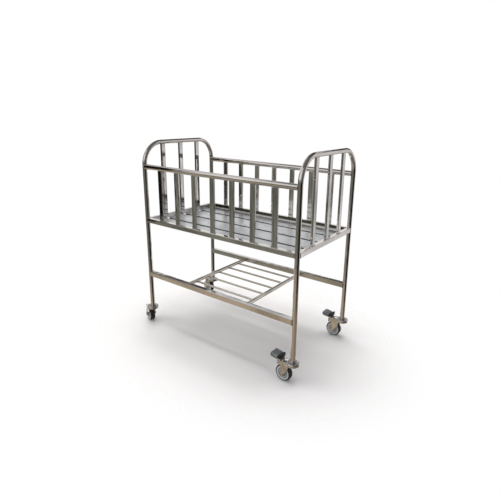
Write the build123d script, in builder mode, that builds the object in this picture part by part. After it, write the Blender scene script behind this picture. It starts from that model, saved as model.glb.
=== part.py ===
from build123d import *
import math
import os

# Hospital bassinet: a welded stainless-steel crib on four swivel casters.
# Millimetres, +Z up, +X along the crib to its right end, +Y to its rear side.
# The origin lies on the floor under the middle of the overall outline, which
# the trailing casters draw a little off the middle of the frame.

# Frame
end_spacing = 870.0            # between the middles of the two end frames
side_spacing = 473.0           # between the middles of the front and rear legs
overall_height = 957.0         # floor to the top of the end frames
caster_height = 106.0          # floor to the foot of a leg
leg_diameter = 22.0
tube_wall = 1.2                # of every round tube
end_bend_radius = 105.0        # middle line of a bent corner
cope_tip = 6.0                 # a rail's saddle stops this short of the leg's axis
top_rail_diameter = 25.0
top_rail_drop = 7.0            # its axis, below the start of the end frames' bends
deck_rail_size = 22.0
deck_rail_height = 568.5       # floor to the rail's axis
low_rail_size = 25.0
low_rail_height = 285.0        # floor to the rail's axis
square_wall = 1.5              # of every square tube
square_corner_radius = 2.5

# Upright bars: one flat tube for the sides and the ends
bar_width = 25.0
bar_depth = 10.0
bar_wall = 1.0
bar_corner_radius = 2.0
side_bar_count = 7
end_bar_count = 3

# Mattress deck: strips of folded sheet that run from end rail to end rail
strip_count = 4
strip_gap = 16.0
strip_side_clearance = 0.5     # from the lengthwise rails
strip_end_clearance = 1.0      # from the end rails to the start of the joggle
sheet_thickness = 1.2
joggle_run = 3.0               # length of the step down to the welded tongue
tongue_lap = 14.0              # under the end rails
fold_depth = 9.0
fold_radius = 1.0

# Storage shelf: two cross tubes between the low rails, and round rods
cross_tube_diameter = 19.0
shelf_length = 360.0           # between the middles of the cross tubes
rod_diameter = 10.0
rod_drop = 3.5                 # their axes, below those of the cross tubes
rod_count = 5
rod_pitch = 81.0

# Casters
wheel_diameter = 75.0
tyre_width = 25.0
trail = 42.0                   # swivel axis to wheel axle, seen from above
hood_diameter = 58.0

# Caster stem, which plugs into the leg
stem_fit = 0.05                # radial, plug in the leg's bore
stem_length = 60.0
stem_chamfer = 1.5
flange_diameter = 25.0
flange_thickness = 3.0
spindle_diameter = 12.0
spindle_fit = 0.06             # radial, running in the fork and the race
axial_play = 0.3               # over the race and under the bearing plate
rivet_diameter = 17.0
rivet_thickness = 4.0

# Swivel race, and the hood that it lies in
race_diameter = 34.0
race_thickness = 4.7
race_rounding = 1.2
dish_clearance = 1.0           # radial, round the race
dish_flare = 2.0
dish_depth = 3.0
bearing_plate = 4.0
hood_height = 13.0
hood_wall = 2.5
hood_rounding = 4.5

# Fork legs, drawn in the side view: reach from the swivel axis, and height
fork_gap = 31.0                # between the inner faces of the two legs
fork_leg_thickness = 2.5
fork_top_reach = 21.0
fork_heel_reach = 60.0
fork_heel_height = 88.0
fork_front_reach = 13.0
fork_front_height = 66.0
fork_waist_reach = 48.0
fork_rounding = 3.0
axle_eye_radius = 11.0
web_end_reach = 46.0           # top web between the legs
web_thickness = 2.5
hole_fit = 0.08                # radial, round the axle bolt and the pedal pin

# Wheel
tyre_depth = 6.5
tyre_shoulder = 6.0
hub_rim_width = 23.0
hub_rim_depth = 7.0
hub_edge = 0.8
hub_web_width = 12.0
hub_boss_radius = 10.0
hub_side_play = 0.3            # between the boss and each fork leg
guard_seat_width = 2.5
guard_thickness = 1.5
guard_recess = 1.0             # guard's face inside the rim's face
guard_fit = 0.05
guard_boss_clearance = 0.5

# Axle bolt and nut
axle_diameter = 10.0
hex_across_flats = 16.0
bolt_head_height = 6.0
nut_height = 8.0
thread_end = 2.0               # of the bolt, past the nut
hex_chamfer = 1.0

# Brake pedal, in the same side view
brake_travel = 12.0            # degrees from released to locked
pin_reach = 60.0
pin_height = 92.0
pin_diameter = 5.0
pin_head_diameter = 8.0
pin_head_height = 1.5
ear_radius = 8.0
rocker_width = 29.0
rocker_radius = 7.0
foot_start = 65.5
foot_tip = 101.0
foot_start_top = 114.0
foot_tip_top = 119.0
foot_depth = 14.0
foot_width = 48.0
foot_wall = 2.5
tongue_reach = 50.0            # of the pedal's tongue, under the release pad
tongue_height = 101.0
pad_width = 40.0
pad_end_top = 120.0
pad_start_top = 113.0
pad_rounding = 2.0
shoe_radius = 2.0
shoe_angle = 58.0              # of the locked shoe, round the wheel from level
shoe_clearance = 0.6           # between the locked shoe and the tyre
grip_count = 4
grip_radius = 1.0
grip_margin = 5.0

# Where each caster stands, as signs along X and Y, which way its wheel trails
# in degrees from +X, and whether it has a brake
casters = [
    ("front_left", -1, -1, 160.0, False),
    ("front_right", 1, -1, 178.0, True),
    ("rear_left", -1, 1, 172.0, False),
    ("rear_right", 1, 1, 180.0, True),
]

# Sizes and places worked out from those above
leg_radius = leg_diameter / 2
wheel_radius = wheel_diameter / 2
hood_radius = hood_diameter / 2
mid_x = (trail + wheel_radius - hood_radius) / 2
left_x = mid_x - end_spacing / 2
right_x = mid_x + end_spacing / 2
front_y = -side_spacing / 2
rear_y = side_spacing / 2
end_top_z = overall_height - leg_radius
top_rail_height = end_top_z - end_bend_radius - top_rail_drop
deck_rail_top = deck_rail_height + deck_rail_size / 2
deck_rail_underside = deck_rail_height - deck_rail_size / 2
deck_length = end_spacing - deck_rail_size
deck_width = side_spacing - deck_rail_size
shelf_z = low_rail_height - (low_rail_size - cross_tube_diameter) / 2
rod_height = shelf_z - rod_drop
coped_length = end_spacing - 2 * cope_tip


def save(sub_part, name):
    """Label a finished sub-part and write it to its own file."""
    sub_part.part.label = name
    export_step(sub_part.part, os.path.join("parts", name + ".step"))


def even_places(count, clear_length, width):
    """Middles of bars that leave the same gap to each other and to both ends."""
    gap = (clear_length - count * width) / (count + 1)
    return [(gap + width) * (i - (count - 1) / 2) for i in range(count)]


def end_frame_line(x):
    """Middle line of an end frame: up one leg, round two bends, down the other."""
    with BuildLine(Plane.YZ.offset(x)) as line:
        FilletPolyline(
            (front_y, caster_height),
            (front_y, end_top_z),
            (rear_y, end_top_z),
            (rear_y, caster_height),
            radius=end_bend_radius,
        )
    return line.wire()


def end_frame_outline(x):
    """Solid outline of an end frame, which the rails and bars are coped to."""
    with BuildPart() as outline:
        with BuildSketch(Plane.XY.offset(caster_height)):
            with Locations((x, front_y)):
                Circle(leg_radius)
        sweep(path=end_frame_line(x))
    return outline.part


end_outlines = [end_frame_outline(left_x), end_frame_outline(right_x)]


# End frames: one bent tube each, from caster to caster
def make_end_tube(name, x):
    with BuildPart() as end_tube:
        with BuildSketch(Plane.XY.offset(caster_height)):
            with Locations((x, front_y)):
                Circle(leg_radius)
                Circle(leg_radius - tube_wall, mode=Mode.SUBTRACT)
        sweep(path=end_frame_line(x))
    save(end_tube, name)


# Lengthwise rails: square at the shelf and the deck, round at the top
def make_square_rail(name, y, height, size):
    inner_size = size - 2 * square_wall
    inner_radius = square_corner_radius - square_wall
    with BuildPart() as square_rail:
        with BuildSketch(Plane.YZ.offset(left_x + cope_tip)):
            with Locations((y, height)):
                RectangleRounded(size, size, square_corner_radius)
                RectangleRounded(inner_size, inner_size, inner_radius, mode=Mode.SUBTRACT)
        extrude(amount=coped_length)
        add(end_outlines, mode=Mode.SUBTRACT)
    save(square_rail, name)


def make_round_rail(name, y):
    with BuildPart() as round_rail:
        with BuildSketch(Plane.YZ.offset(left_x + cope_tip)):
            with Locations((y, top_rail_height)):
                Circle(top_rail_diameter / 2)
                Circle(top_rail_diameter / 2 - tube_wall, mode=Mode.SUBTRACT)
        extrude(amount=coped_length)
        add(end_outlines, mode=Mode.SUBTRACT)
    save(round_rail, name)


# Deck rails across the ends: coped to the legs, and cut back where the
# lengthwise rails meet the same legs
def make_end_rail(name, x):
    inner_size = deck_rail_size - 2 * square_wall
    inner_radius = square_corner_radius - square_wall
    with BuildPart() as end_rail:
        with BuildSketch(Plane.XZ.offset(cope_tip - rear_y)):
            with Locations((x, deck_rail_height)):
                RectangleRounded(deck_rail_size, deck_rail_size, square_corner_radius)
                RectangleRounded(inner_size, inner_size, inner_radius, mode=Mode.SUBTRACT)
        extrude(amount=side_spacing - 2 * cope_tip)
        add(end_outlines, mode=Mode.SUBTRACT)
        with BuildSketch(Plane.YZ.offset(left_x + cope_tip)):
            with Locations((front_y, deck_rail_height), (rear_y, deck_rail_height)):
                Rectangle(deck_rail_size, deck_rail_size)
        extrude(amount=coped_length, mode=Mode.SUBTRACT)
    save(end_rail, name)


# Upright bars: flat tubes that stand on a deck rail, each with its top end
# shaped to the round tube above it
def make_side_bars(name, y):
    with BuildPart() as side_bars:
        with BuildSketch(Plane.XY.offset(deck_rail_top)):
            for x in even_places(side_bar_count, end_spacing - leg_diameter, bar_width):
                with Locations((mid_x + x, y)):
                    RectangleRounded(bar_width, bar_depth, bar_corner_radius)
                    RectangleRounded(
                        bar_width - 2 * bar_wall,
                        bar_depth - 2 * bar_wall,
                        bar_corner_radius - bar_wall,
                        mode=Mode.SUBTRACT,
                    )
        extrude(amount=top_rail_height - deck_rail_top)
        with BuildSketch(Plane.YZ.offset(left_x)):
            with Locations((y, top_rail_height)):
                Circle(top_rail_diameter / 2)
        extrude(amount=end_spacing, mode=Mode.SUBTRACT)
    save(side_bars, name)


def make_end_bars(name, x):
    with BuildPart() as end_bars:
        with BuildSketch(Plane.XY.offset(deck_rail_top)):
            for y in even_places(end_bar_count, side_spacing - leg_diameter, bar_width):
                with Locations((x, y)):
                    RectangleRounded(bar_depth, bar_width, bar_corner_radius)
                    RectangleRounded(
                        bar_depth - 2 * bar_wall,
                        bar_width - 2 * bar_wall,
                        bar_corner_radius - bar_wall,
                        mode=Mode.SUBTRACT,
                    )
        extrude(amount=end_top_z - deck_rail_top)
        add(end_outlines, mode=Mode.SUBTRACT)
    save(end_bars, name)


# Mattress deck: the long edges of each strip are folded down, and its ends step
# down by the sheet's thickness to tongues that are welded under the end rails
def make_deck_strips():
    room = deck_width - 2 * strip_side_clearance
    strip_width = (room - (strip_count - 1) * strip_gap) / strip_count
    step_end = deck_length / 2 - strip_end_clearance
    flat_end = step_end - joggle_run
    tongue_end = deck_length / 2 + tongue_lap
    top = deck_rail_underside + sheet_thickness
    middle = deck_rail_underside
    bottom = deck_rail_underside - sheet_thickness
    for i in range(strip_count):
        y = (strip_width + strip_gap) * (i - (strip_count - 1) / 2)
        with BuildPart() as strip:
            with BuildSketch(Plane.XZ.offset(-y - strip_width / 2)):
                with BuildLine():
                    Polyline(
                        (mid_x - tongue_end, middle),
                        (mid_x - step_end, middle),
                        (mid_x - flat_end, top),
                        (mid_x + flat_end, top),
                        (mid_x + step_end, middle),
                        (mid_x + tongue_end, middle),
                        (mid_x + tongue_end, bottom),
                        (mid_x + step_end, bottom),
                        (mid_x + flat_end, middle),
                        (mid_x - flat_end, middle),
                        (mid_x - step_end, bottom),
                        (mid_x - tongue_end, bottom),
                        close=True,
                    )
                make_face()
            extrude(amount=strip_width)
            with BuildSketch(Plane.XY.offset(top - fold_depth)):
                with Locations((mid_x, y)):
                    with GridLocations(0, strip_width - sheet_thickness, 1, 2):
                        Rectangle(2 * flat_end, sheet_thickness)
            extrude(amount=fold_depth - sheet_thickness)
            fillet(strip.edges().group_by(Axis.Z)[-1].filter_by(Axis.X), fold_radius)
        save(strip, "deck_strip_" + str(i + 1))


# Storage shelf
def make_cross_tube(name, x):
    with BuildPart() as cross_tube:
        with BuildSketch(Plane.XZ.offset(low_rail_size / 2 - rear_y)):
            with Locations((x, shelf_z)):
                Circle(cross_tube_diameter / 2)
                Circle(cross_tube_diameter / 2 - tube_wall, mode=Mode.SUBTRACT)
        extrude(amount=side_spacing - low_rail_size)
    save(cross_tube, name)


def make_shelf_rods():
    with BuildPart() as rods:
        with BuildSketch(Plane.YZ.offset(mid_x - shelf_length / 2)):
            with Locations((0, rod_height)):
                with GridLocations(rod_pitch, 0, rod_count, 1):
                    Circle(rod_diameter / 2)
        extrude(amount=shelf_length)
        with BuildSketch(Plane.XZ.offset(-rear_y)):
            with Locations((mid_x, shelf_z)):
                with GridLocations(shelf_length, 0, 2, 1):
                    Circle(cross_tube_diameter / 2)
        extrude(amount=side_spacing, mode=Mode.SUBTRACT)
    save(rods, "shelf_rods")


# Casters: heights and radii worked out from the sizes above
race_floor = caster_height - flange_thickness - axial_play - race_thickness
rim_z = race_floor + dish_depth
hood_mouth_z = rim_z - hood_height
plate_z = race_floor - bearing_plate
spindle_bore = spindle_diameter / 2 + spindle_fit
fork_outer = fork_gap / 2 + fork_leg_thickness
hub_radius = wheel_radius - tyre_depth
hub_recess_radius = hub_radius - hub_rim_depth
guard_face = hub_rim_width / 2 - guard_recess - guard_thickness
pin_bore = pin_diameter / 2 + hole_fit


def fork_top_height(reach):
    """Height of the fork legs' straight top edge at a reach."""
    slope = (rim_z - fork_heel_height) / (fork_heel_reach - fork_top_reach)
    return rim_z - slope * (reach - fork_top_reach)


def released_shoe():
    """Middle of the released brake shoe: the locked one, turned back round the pin."""
    distance = wheel_radius + shoe_clearance + shoe_radius
    turn = math.radians(brake_travel)
    dx = trail + distance * math.cos(math.radians(shoe_angle)) - pin_reach
    dz = wheel_radius + distance * math.sin(math.radians(shoe_angle)) - pin_height
    return (
        pin_reach + dx * math.cos(turn) - dz * math.sin(turn),
        pin_height + dx * math.sin(turn) + dz * math.cos(turn),
    )


class CasterPlanes:
    """Planes and axes of a caster at (x, y) whose wheel trails towards heading.

    seat is level, with its X towards the wheel. side is the upright plane of
    reach and height. section holds the axle, with the wheel's radius upwards,
    and axle_side is side, moved to the middle of the wheel.
    """

    def __init__(self, x, y, heading):
        towards = Vector(1, 0, 0).rotate(Axis.Z, heading)
        self.seat = Plane(origin=(x, y, 0), x_dir=towards, z_dir=(0, 0, 1))
        across = self.seat.y_dir
        centre = self.seat.from_local_coords((trail, 0, wheel_radius))
        self.side = Plane(origin=(x, y, 0), x_dir=towards, z_dir=-across)
        self.section = Plane(origin=centre, x_dir=across, z_dir=towards)
        self.axle_side = Plane(origin=centre, x_dir=towards, z_dir=-across)
        self.swivel = Axis((x, y, 0), (0, 0, 1))
        self.axle = Axis(centre, across)


def make_stem(name, at):
    """Plug in the leg, flange under its foot, and spindle with riveted end."""
    rivet_top = plate_z - axial_play
    flange_base = caster_height - flange_thickness
    with BuildPart() as stem:
        with BuildSketch(at.seat.offset(caster_height)):
            Circle(leg_radius - tube_wall - stem_fit)
        extrude(amount=stem_length)
        chamfer(stem.faces().sort_by(Axis.Z)[-1].edges(), stem_chamfer)
        with BuildSketch(at.seat.offset(flange_base)):
            Circle(flange_diameter / 2)
        extrude(amount=flange_thickness)
        with BuildSketch(at.seat.offset(rivet_top)):
            Circle(spindle_diameter / 2)
        extrude(amount=flange_base - rivet_top)
        with BuildSketch(at.seat.offset(rivet_top - rivet_thickness)):
            Circle(rivet_diameter / 2)
        extrude(amount=rivet_thickness)
    save(stem, name)


def make_race(name, at):
    """Ring that lies in the hood's dish, under the flange of the stem."""
    with BuildPart() as race:
        with BuildSketch(at.seat.offset(race_floor)):
            Circle(race_diameter / 2)
            Circle(spindle_bore, mode=Mode.SUBTRACT)
        extrude(amount=race_thickness)
        fillet(race.faces().sort_by(Axis.Z)[-1].outer_wire().edges(), race_rounding)
    save(race, name)


def make_fork(name, at, braked):
    """Pressed hood with a dished top, two legs down to the axle, and a top web."""
    dish_radius = race_diameter / 2 + dish_clearance
    with BuildPart() as fork:
        with BuildSketch(at.side) as hood:
            with BuildLine():
                Polyline(
                    (spindle_bore, race_floor),
                    (dish_radius, race_floor),
                    (dish_radius + dish_flare, rim_z),
                    (hood_radius, rim_z),
                    (hood_radius, hood_mouth_z),
                    (hood_radius - hood_wall, hood_mouth_z),
                    (hood_radius - hood_wall, plate_z),
                    (spindle_bore, plate_z),
                    close=True,
                )
            make_face()
            fillet(hood.vertices().sort_by_distance((hood_radius, rim_z))[0], hood_rounding)
        revolve(axis=at.swivel)
        for face in (fork_gap / 2, -fork_outer):
            with BuildSketch(at.side.offset(face)) as leg:
                with BuildLine():
                    Polyline(
                        (fork_heel_reach, fork_heel_height),
                        (fork_top_reach, rim_z),
                        (fork_front_reach, fork_front_height),
                        (trail - axle_eye_radius, wheel_radius),
                        (trail + axle_eye_radius, wheel_radius),
                        (fork_waist_reach, fork_front_height),
                        close=True,
                    )
                make_face()
                fillet(leg.vertices().sort_by(Axis.Y)[2:5], fork_rounding)
                with Locations((trail, wheel_radius)):
                    Circle(axle_eye_radius)
                    Circle(axle_diameter / 2 + hole_fit, mode=Mode.SUBTRACT)
                if braked:
                    with Locations((pin_reach, pin_height)):
                        Circle(ear_radius)
                        Circle(pin_bore, mode=Mode.SUBTRACT)
            extrude(amount=fork_leg_thickness)
        with BuildSketch(at.side.offset(-fork_gap / 2)):
            with BuildLine():
                Polyline(
                    (fork_top_reach, rim_z),
                    (web_end_reach, fork_top_height(web_end_reach)),
                    (web_end_reach, fork_top_height(web_end_reach) - web_thickness),
                    (fork_top_reach, rim_z - web_thickness),
                    close=True,
                )
            make_face()
        extrude(amount=fork_gap)
    save(fork, name)


def make_tyre(name, at):
    """Rubber tyre with rounded shoulders."""
    with BuildPart() as tyre:
        with BuildSketch(at.section) as tread:
            with Locations((0, hub_radius)):
                Rectangle(tyre_width, tyre_depth, align=(Align.CENTER, Align.MIN))
            fillet(tread.vertices().group_by(Axis.Y)[-1], tyre_shoulder)
        revolve(axis=at.axle)
    save(tyre, name)


def make_hub(name, at):
    """Wheel core, turned: rim, thin web, boss, and a seat for each guard."""
    seat_radius = hub_recess_radius - guard_seat_width
    boss_width = fork_gap - 2 * hub_side_play
    bore = axle_diameter / 2 + hole_fit
    middle_low = (Align.CENTER, Align.MIN)
    with BuildPart() as hub:
        with BuildSketch(at.section) as core:
            with Locations((0, bore)):
                Rectangle(boss_width, hub_boss_radius - bore, align=middle_low)
                Rectangle(hub_web_width, hub_radius - bore, align=middle_low)
            with Locations((0, seat_radius)):
                Rectangle(2 * guard_face, guard_seat_width, align=middle_low)
            with Locations((0, hub_recess_radius)):
                Rectangle(hub_rim_width, hub_rim_depth, align=middle_low)
            chamfer(core.vertices().group_by(Axis.Y)[-1], hub_edge)
        revolve(axis=at.axle)
    save(hub, name)


def make_thread_guards(name, at):
    """Two flat covers over the recesses in the sides of the wheel."""
    with BuildPart() as guards:
        for face in (guard_face, -guard_face - guard_thickness):
            with BuildSketch(at.axle_side.offset(face)):
                Circle(hub_recess_radius - guard_fit)
                Circle(hub_boss_radius + guard_boss_clearance, mode=Mode.SUBTRACT)
            extrude(amount=guard_thickness)
    save(guards, name)


def make_axle_bolt(name, at):
    """Hexagon bolt through both fork legs and the hub."""
    with BuildPart() as bolt:
        with BuildSketch(at.axle_side.offset(-fork_outer)):
            Circle(axle_diameter / 2)
        extrude(amount=2 * fork_outer + nut_height + thread_end)
        chamfer(bolt.faces().sort_by(at.axle)[0].edges(), hex_chamfer)
        with BuildSketch(at.axle_side.offset(-fork_outer - bolt_head_height)):
            RegularPolygon(hex_across_flats / 2, 6, major_radius=False)
        extrude(amount=bolt_head_height)
    save(bolt, name)


def make_axle_nut(name, at):
    """Hexagon nut that holds the axle bolt."""
    with BuildPart() as nut:
        with BuildSketch(at.axle_side.offset(fork_outer)):
            RegularPolygon(hex_across_flats / 2, 6, major_radius=False)
            Circle(axle_diameter / 2 + hole_fit, mode=Mode.SUBTRACT)
        extrude(amount=nut_height)
    save(nut, name)


def make_pedal_pin(name, at):
    """Headed pin through the ears of the fork and the pedal's rocker."""
    with BuildPart() as pin:
        with BuildSketch(at.side.offset(-fork_outer)):
            with Locations((pin_reach, pin_height)):
                Circle(pin_diameter / 2)
        extrude(amount=2 * fork_outer)
        for face in (fork_outer, -fork_outer - pin_head_height):
            with BuildSketch(at.side.offset(face)):
                with Locations((pin_reach, pin_height)):
                    Circle(pin_head_diameter / 2)
            extrude(amount=pin_head_height)
    save(pin, name)


def grip_places():
    """Middles of the grip ribs, evenly along the foot plate's sloping top."""
    first = foot_start + grip_margin
    pitch = (foot_tip - foot_start - 2 * grip_margin) / (grip_count - 1)
    slope = (foot_tip_top - foot_start_top) / (foot_tip - foot_start)
    reaches = [first + pitch * i for i in range(grip_count)]
    return [(reach, foot_start_top + slope * (reach - foot_start)) for reach in reaches]


def make_brake_pedal(name, at):
    """Foot plate with skirts, tongue under the release pad, rocker and shoe."""
    hollow_base = foot_start_top - 2 * foot_depth
    with BuildPart() as pedal:
        with BuildSketch(at.side.offset(-foot_width / 2)):
            with BuildLine():
                Polyline(
                    (foot_start, foot_start_top),
                    (foot_tip, foot_tip_top),
                    (foot_tip, foot_tip_top - foot_depth),
                    (foot_start, foot_start_top - foot_depth),
                    close=True,
                )
            make_face()
        extrude(amount=foot_width)
        with BuildSketch(at.side.offset(foot_wall - foot_width / 2)):
            with BuildLine():
                Polyline(
                    (foot_start + foot_wall, foot_start_top - foot_wall),
                    (foot_tip - foot_wall, foot_tip_top - foot_wall),
                    (foot_tip - foot_wall, hollow_base),
                    (foot_start + foot_wall, hollow_base),
                    close=True,
                )
            make_face()
        extrude(amount=foot_width - 2 * foot_wall, mode=Mode.SUBTRACT)
        with BuildSketch(at.side.offset(-pad_width / 2)):
            with Locations((tongue_reach, tongue_height)):
                Rectangle(
                    foot_start + foot_wall - tongue_reach,
                    foot_wall,
                    align=(Align.MIN, Align.MIN),
                )
        extrude(amount=pad_width)
        with BuildSketch(at.side.offset(-rocker_width / 2)):
            with Locations((pin_reach, pin_height)):
                Circle(rocker_radius)
            with Locations(
                released_shoe(),
                (foot_start, tongue_height),
                (pin_reach - rocker_radius + shoe_radius, tongue_height),
            ):
                Circle(shoe_radius)
            make_hull()
            with Locations((pin_reach, pin_height)):
                Circle(pin_bore, mode=Mode.SUBTRACT)
        extrude(amount=rocker_width)
        with BuildSketch(at.side.offset(grip_margin - foot_width / 2)):
            with Locations(grip_places()):
                Circle(grip_radius)
        extrude(amount=foot_width - 2 * grip_margin)
    save(pedal, name)


def make_release_pad(name, at):
    """Rubber block on the pedal's tongue, pressed to release the brake."""
    base = tongue_height + foot_wall
    with BuildPart() as pad:
        with BuildSketch(at.side.offset(-pad_width / 2)) as side:
            with BuildLine():
                Polyline(
                    (tongue_reach, base),
                    (foot_start, base),
                    (foot_start, pad_start_top),
                    (tongue_reach, pad_end_top),
                    close=True,
                )
            make_face()
            fillet(side.vertices().sort_by(Axis.Y)[-1], pad_rounding)
        extrude(amount=pad_width)
    save(pad, name)


def make_caster(place, x_sign, y_sign, heading, braked):
    """All the sub-parts of one caster, named after its place."""
    x = mid_x + x_sign * end_spacing / 2
    y = y_sign * side_spacing / 2
    at = CasterPlanes(x, y, heading)
    make_stem(place + "_stem", at)
    make_race(place + "_swivel_race", at)
    make_fork(place + "_fork", at, braked)
    make_tyre(place + "_tyre", at)
    make_hub(place + "_wheel_hub", at)
    make_thread_guards(place + "_thread_guards", at)
    make_axle_bolt(place + "_axle_bolt", at)
    make_axle_nut(place + "_axle_nut", at)
    if braked:
        make_pedal_pin(place + "_pedal_pin", at)
        make_brake_pedal(place + "_brake_pedal", at)
        make_release_pad(place + "_release_pad", at)


# The whole bassinet
os.makedirs("parts", exist_ok=True)
for end, x in (("left", left_x), ("right", right_x)):
    make_end_tube(end + "_end_tube", x)
    make_end_rail(end + "_deck_rail", x)
    make_end_bars(end + "_end_bars", x)
for side, y in (("front", front_y), ("rear", rear_y)):
    make_square_rail(side + "_deck_rail", y, deck_rail_height, deck_rail_size)
    make_square_rail(side + "_low_rail", y, low_rail_height, low_rail_size)
    make_round_rail(side + "_top_rail", y)
    make_side_bars(side + "_slats", y)
make_deck_strips()
make_cross_tube("left_shelf_tube", mid_x - shelf_length / 2)
make_cross_tube("right_shelf_tube", mid_x + shelf_length / 2)
make_shelf_rods()
for caster in casters:
    make_caster(*caster)
print("origin to the middle of the frame along X:", mid_x)
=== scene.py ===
# %% [markdown]
# # A hospital bassinet in polished steel
# The real crib is a welded frame of thin stainless tube, polished until it mirrors the room, with
# a deck of folded sheet, an open rod shelf and four swivel casters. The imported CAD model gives
# every place and size. This lesson gives each part a finer skin, and the steel its room to mirror.

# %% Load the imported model
import math

import bpy
import numpy as np
from mathutils import Matrix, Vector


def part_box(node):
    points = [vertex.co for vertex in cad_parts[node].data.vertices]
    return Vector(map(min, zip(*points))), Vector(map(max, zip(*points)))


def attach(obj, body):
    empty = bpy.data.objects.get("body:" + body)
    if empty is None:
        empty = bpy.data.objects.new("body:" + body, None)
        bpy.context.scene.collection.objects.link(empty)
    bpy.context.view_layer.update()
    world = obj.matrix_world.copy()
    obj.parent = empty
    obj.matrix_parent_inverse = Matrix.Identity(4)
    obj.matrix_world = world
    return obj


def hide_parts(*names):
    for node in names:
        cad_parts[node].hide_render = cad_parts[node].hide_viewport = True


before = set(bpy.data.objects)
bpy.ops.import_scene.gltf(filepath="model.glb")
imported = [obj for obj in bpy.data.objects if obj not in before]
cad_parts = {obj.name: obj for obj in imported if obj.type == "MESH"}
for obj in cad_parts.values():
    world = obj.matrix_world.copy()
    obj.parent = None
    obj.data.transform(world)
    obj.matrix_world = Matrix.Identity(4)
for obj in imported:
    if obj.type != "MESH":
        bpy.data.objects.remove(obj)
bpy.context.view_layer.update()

# %% [markdown]
# ## The camera
# The photograph was taken from in front of the crib's right end, a little above its top rails. A
# camera matrix has three columns: right, up and backwards. They follow from how far the camera is
# turned (yaw), tipped down (pitch) and leaned (roll). The lens axis didn't meet the middle of the
# picture, and the camera's shift says so.

# %% Place the camera
camera_place = (1.22595, -1.5515, 1.1004)
camera_yaw, camera_pitch, camera_roll = 35.12, 15.95, -1.11
yaw, pitch, roll = np.radians([camera_yaw, camera_pitch, camera_roll])
forward = np.array([-np.sin(yaw) * np.cos(pitch), np.cos(yaw) * np.cos(pitch), -np.sin(pitch)])
level_right = np.array([np.cos(yaw), np.sin(yaw), 0.0])
level_down = np.cross(forward, level_right)
right = np.cos(roll) * level_right + np.sin(roll) * level_down
down = np.cos(roll) * level_down - np.sin(roll) * level_right

camera_data = bpy.data.cameras.new("camera")
camera_data.lens, camera_data.sensor_width = 30.013, 36.0
camera_data.shift_x, camera_data.shift_y = -0.02806, -0.03892
camera = bpy.data.objects.new("camera", camera_data)
bpy.context.scene.collection.objects.link(camera)
turn = np.eye(4)
turn[:3, 0], turn[:3, 1], turn[:3, 2], turn[:3, 3] = right, -down, -forward, camera_place
camera.matrix_world = Matrix(turn.tolist())
bpy.context.scene.camera = camera
print("camera looks along", forward.round(3))

# %% [markdown]
# ## Surfaces from grids of points
# Nearly all of the crib is a profile carried along a line: a circle along a bent leg, a rounded
# rectangle along a slat, a bead round a joint. Blender could do that with curves and bevels, but
# then the profile's ends can't be shaped to the tube that they meet. Here a surface is a grid of
# points worked out by numpy, with rows along the piece and columns round it, which gives full
# control of the ends. Texture coordinates are lengths in metres, so that grain has its true size.

# %% Turn a grid into a closed skin
no_length = 1e-6


def lengths(points):
    """Distance walked along a row of points: the running sum of the steps between them."""
    steps = np.linalg.norm(np.diff(points, axis=0), axis=-1)
    return np.concatenate([[0.0], np.cumsum(steps)])


def skin(grid, ring=False):
    """Closed surface through a grid of (rows, columns) points.

    Each cell is a quad. Columns close on themselves. Rows do too if ring, and otherwise a flat
    face closes the first and the last row. Texture lengths along the rows follow the line through
    their middles, or the first column where that line has no length, as on a disc. The enclosed
    volume is the sum over the faces of corner . (corner x corner) / 6, and where it is negative,
    every face is turned round.
    """
    rows, columns = grid.shape[:2]
    r, c = np.meshgrid(np.arange(rows if ring else rows - 1), np.arange(columns), indexing="ij")
    r2, c2 = (r + 1) % rows, (c + 1) % columns
    corners = [(r, c), (r2, c), (r2, c2), (r, c2)]
    quads = np.stack([a * columns + b for a, b in corners], -1).reshape(-1, 4)
    around = lengths(np.concatenate([grid[rows // 2], grid[rows // 2][:1]]))
    closed = np.concatenate([grid, grid[:1]]) if ring else grid
    along = lengths(closed.mean(1))
    if along[-1] < no_length:
        along = lengths(closed[:, 0])
    places = [(r, c), (r + 1, c), (r + 1, c + 1), (r, c + 1)]
    uvs = np.stack([np.stack([around[b], along[a]], -1) for a, b in places], -2).reshape(-1, 4, 2)
    points = grid.reshape(-1, 3)
    a, b, c, d = (points[quads[:, k]] for k in range(4))
    volume = np.einsum("ij,ij->", a, np.cross(b, c) + np.cross(c, d))
    ends = []
    if not ring:
        ends = [np.arange(columns), np.arange(columns)[::-1] + (rows - 1) * columns]
        for end in ends:
            fan = points[end]
            volume += np.sum(np.cross(fan[1:-1], fan[2:]) @ fan[0])
    if volume < 0:
        quads, uvs, ends = quads[:, ::-1], uvs[:, ::-1], [end[::-1] for end in ends]
    return points, quads, uvs, ends


# %% Gather skins in one object
crease_angle = 40.0


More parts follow.
